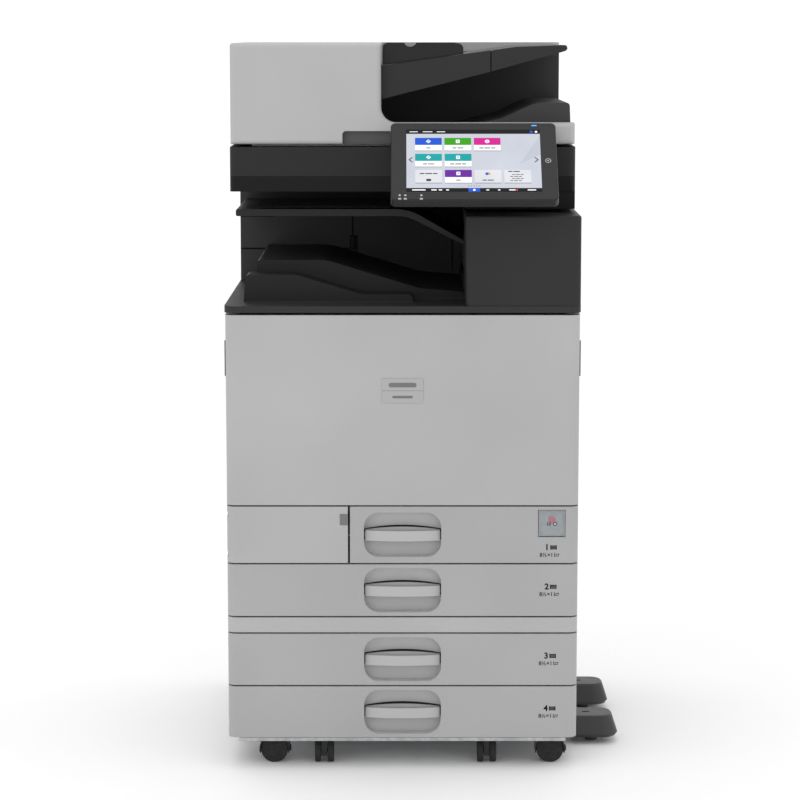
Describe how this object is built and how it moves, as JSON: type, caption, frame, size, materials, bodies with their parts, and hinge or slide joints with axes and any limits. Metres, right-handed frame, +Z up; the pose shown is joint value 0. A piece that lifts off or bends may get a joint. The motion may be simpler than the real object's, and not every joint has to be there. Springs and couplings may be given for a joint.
{
  "type": "photocopier",
  "caption": "Floor-standing office copier with document feeder, tilting touch panel, paper drawers, side door, casters and stabiliser feet.",
  "frame": {"origin": "centre of the whole machine's footprint box, on the floor", "axes": "+X to the machine's right seen from the front, +Y from the front to the back, +Z up"},
  "size_m": [0.6722, 0.684, 1.2145],
  "materials": {
    "light_cover": "fine textured light grey ABS",
    "dark_cover": "fine textured near-black ABS",
    "frame_steel": "galvanised sheet steel",
    "bracket_steel": "pressed steel",
    "tray_plastic": "grey moulded plastic",
    "foot_plastic": "black moulded plastic",
    "wheel_rubber": "black rubber tyre",
    "toner_plastic": "moulded bottle, one colour each",
    "inner_plastic": "dark moulded plastic",
    "glass": "clear plate glass",
    "panel_plastic": "smooth dark bezel",
    "screen_glass": "lit touch screen",
    "clear_flap": "smoke-tinted clear plastic",
    "switch_red": "pinkish red",
    "trim_plastic": "grey plate, dark side grips",
    "roller_rubber": "rubber on a steel shaft",
    "white_sheet": "white foam-backed sheet"
  },
  "bodies": {
    "main_body": {"bank_frame": "frame_steel", "engine_frame": "frame_steel", "left_cover": "light_cover", "right_cover": "light_cover", "bank_covers": "light_cover", "rear_cover": "light_cover", "bank_front_rail": "light_cover", "switch_housing": "dark_cover", "hinge_brackets": "bracket_steel", "inner_front_cover": "dark_cover", "toner_bottles": "toner_plastic", "imaging_units": "inner_plastic", "laser_unit": "inner_plastic", "fuser_and_transfer": "inner_plastic", "electronics": "inner_plastic", "top_cover": "dark_cover", "cavity_wall": "dark_cover", "exit_housing": "dark_cover", "bin_tray": "dark_cover", "scanner_housing": "dark_cover", "platen_glass": "glass", "scanner_rails": "bracket_steel", "stabilizers": "foot_plastic", "caster_brackets": "bracket_steel"},
    "tray_1": {"tray_1_front": "light_cover", "tray_1_box": "tray_plastic"},
    "tray_2": {"tray_2_front": "light_cover", "tray_2_box": "tray_plastic"},
    "tray_3": {"tray_3_front": "light_cover", "tray_3_box": "tray_plastic"},
    "tray_4": {"tray_4_front": "light_cover", "tray_4_box": "tray_plastic"},
    "power_flap": {"power_flap": "clear_flap"},
    "power_switch": {"power_switch": "switch_red"},
    "front_door": {"front_door": "light_cover", "door_trim": "trim_plastic"},
    "waste_cover": {"waste_cover": "light_cover"},
    "right_door": {"right_door": "light_cover"},
    "bypass_tray": {"bypass_tray": "tray_plastic"},
    "exit_roller": {"exit_roller": "roller_rubber"},
    "scan_carriage": {"scan_carriage": "inner_plastic"},
    "operation_panel": {"panel_housing": "panel_plastic", "panel_screen": "screen_glass"},
    "document_feeder": {"feeder_body": "dark_cover", "feeder_covers": "light_cover", "original_tray": "dark_cover", "platen_sheet": "white_sheet"},
    "feed_cover": {"feed_cover": "light_cover"},
    "original_tray_end": {"original_tray_end": "dark_cover"},
    "document_guide_front": {"document_guide_front": "dark_cover"},
    "document_guide_rear": {"document_guide_rear": "dark_cover"},
    "feed_roller": {"feed_roller": "roller_rubber"},
    "front_left_caster": {"front_left_caster": "foot_plastic"},
    "front_left_wheels": {"front_left_wheels": "wheel_rubber"},
    "rear_left_wheels": {"rear_left_wheels": "wheel_rubber"},
    "support_left_wheels": {"support_left_wheels": "wheel_rubber"},
    "front_right_caster": {"front_right_caster": "foot_plastic"},
    "front_right_wheels": {"front_right_wheels": "wheel_rubber"},
    "rear_right_wheels": {"rear_right_wheels": "wheel_rubber"},
    "support_right_wheels": {"support_right_wheels": "wheel_rubber"}
  },
  "joints": [
    {"name": "tray_1_slide", "type": "slide", "parent": "main_body", "child": "tray_1", "axis": [0, -1, 0], "range_m": [0, 0.38]},
    {"name": "tray_2_slide", "type": "slide", "parent": "main_body", "child": "tray_2", "axis": [0, -1, 0], "range_m": [0, 0.38]},
    {"name": "tray_3_slide", "type": "slide", "parent": "main_body", "child": "tray_3", "axis": [0, -1, 0], "range_m": [0, 0.38]},
    {"name": "tray_4_slide", "type": "slide", "parent": "main_body", "child": "tray_4", "axis": [0, -1, 0], "range_m": [0, 0.38]},
    {"name": "front_door_hinge", "type": "hinge", "parent": "main_body", "child": "front_door", "pos_m": [-0.04085, -0.27002, 0.466], "axis": [1, 0, 0], "range_deg": [0, 90]},
    {"name": "waste_cover_hinge", "type": "hinge", "parent": "main_body", "child": "waste_cover", "pos_m": [-0.32235, -0.26602, 0.40175], "axis": [0, 0, -1], "range_deg": [0, 90]},
    {"name": "power_flap_hinge", "type": "hinge", "parent": "main_body", "child": "power_flap", "pos_m": [0.2079, -0.27482, 0.403], "axis": [1, 0, 0], "range_deg": [0, 90]},
    {"name": "power_switch_press", "type": "slide", "parent": "main_body", "child": "power_switch", "axis": [0, 1, 0], "range_m": [0, 0.003], "stiffness_N_per_m": 900},
    {"name": "right_door_hinge", "type": "hinge", "parent": "main_body", "child": "right_door", "pos_m": [0.24315, 0.03198, 0.371], "axis": [0, 1, 0], "range_deg": [0, 60]},
    {"name": "bypass_tray_hinge", "type": "hinge", "parent": "right_door", "child": "bypass_tray", "pos_m": [0.24865, 0.03198, 0.472], "axis": [0, 1, 0], "range_deg": [0, 75]},
    {"name": "exit_roller_spin", "type": "hinge", "parent": "main_body", "child": "exit_roller", "pos_m": [0.07515, 0.01198, 0.826], "axis": [0, 1, 0], "continuous": true},
    {"name": "scan_carriage_slide", "type": "slide", "parent": "main_body", "child": "scan_carriage", "axis": [1, 0, 0], "range_m": [0, 0.44]},
    {"name": "panel_tilt", "type": "hinge", "parent": "main_body", "child": "operation_panel", "pos_m": [0.07565, -0.26002, 1.004], "axis": [1, 0, 0], "range_deg": [0, 35]},
    {"name": "feeder_hinge", "type": "hinge", "parent": "main_body", "child": "document_feeder", "pos_m": [-0.04085, 0.32798, 1.052], "axis": [-1, 0, 0], "range_deg": [0, 60]},
    {"name": "feed_cover_hinge", "type": "hinge", "parent": "document_feeder", "child": "feed_cover", "pos_m": [-0.32165, -0.00602, 1.186], "axis": [0, -1, 0], "range_deg": [0, 75]},
    {"name": "original_tray_fold", "type": "hinge", "parent": "document_feeder", "child": "original_tray_end", "pos_m": [0.11065, -0.00752, 1.1975], "axis": [0, -1, 0], "range_deg": [0, 75]},
    {"name": "document_guide_front_slide", "type": "slide", "parent": "document_feeder", "child": "document_guide_front", "axis": [0, 1, 0], "range_m": [0, 0.09]},
    {"name": "document_guide_rear_slide", "type": "slide", "parent": "document_feeder", "child": "document_guide_rear", "axis": [0, 1, 0], "range_m": [-0.09, 0]},
    {"name": "feed_roller_spin", "type": "hinge", "parent": "document_feeder", "child": "feed_roller", "pos_m": [-0.13655, -0.00552, 1.153], "axis": [0, 1, 0], "continuous": true},
    {"name": "front_left_swivel", "type": "hinge", "parent": "main_body", "child": "front_left_caster", "pos_m": [-0.27535, -0.22502, 0.044], "axis": [0, 0, 1], "continuous": true},
    {"name": "front_left_roll", "type": "hinge", "parent": "front_left_caster", "child": "front_left_wheels", "pos_m": [-0.25885, -0.22502, 0.023], "axis": [0, 1, 0], "continuous": true},
    {"name": "rear_left_roll", "type": "hinge", "parent": "main_body", "child": "rear_left_wheels", "pos_m": [-0.27535, 0.25198, 0.023], "axis": [1, 0, 0], "continuous": true},
    {"name": "support_left_roll", "type": "hinge", "parent": "main_body", "child": "support_left_wheels", "pos_m": [-0.17885, -0.23002, 0.02], "axis": [1, 0, 0], "continuous": true},
    {"name": "front_right_swivel", "type": "hinge", "parent": "main_body", "child": "front_right_caster", "pos_m": [0.19365, -0.22502, 0.044], "axis": [0, 0, 1], "continuous": true},
    {"name": "front_right_roll", "type": "hinge", "parent": "front_right_caster", "child": "front_right_wheels", "pos_m": [0.21015, -0.22502, 0.023], "axis": [0, 1, 0], "continuous": true},
    {"name": "rear_right_roll", "type": "hinge", "parent": "main_body", "child": "rear_right_wheels", "pos_m": [0.19365, 0.25198, 0.023], "axis": [1, 0, 0], "continuous": true},
    {"name": "support_right_roll", "type": "hinge", "parent": "main_body", "child": "support_right_wheels", "pos_m": [0.09715, -0.23002, 0.02], "axis": [1, 0, 0], "continuous": true}
  ],
  "couplings": [
    {"joint": "document_guide_rear_slide", "follows": "document_guide_front_slide", "ratio": -1}
  ]
}
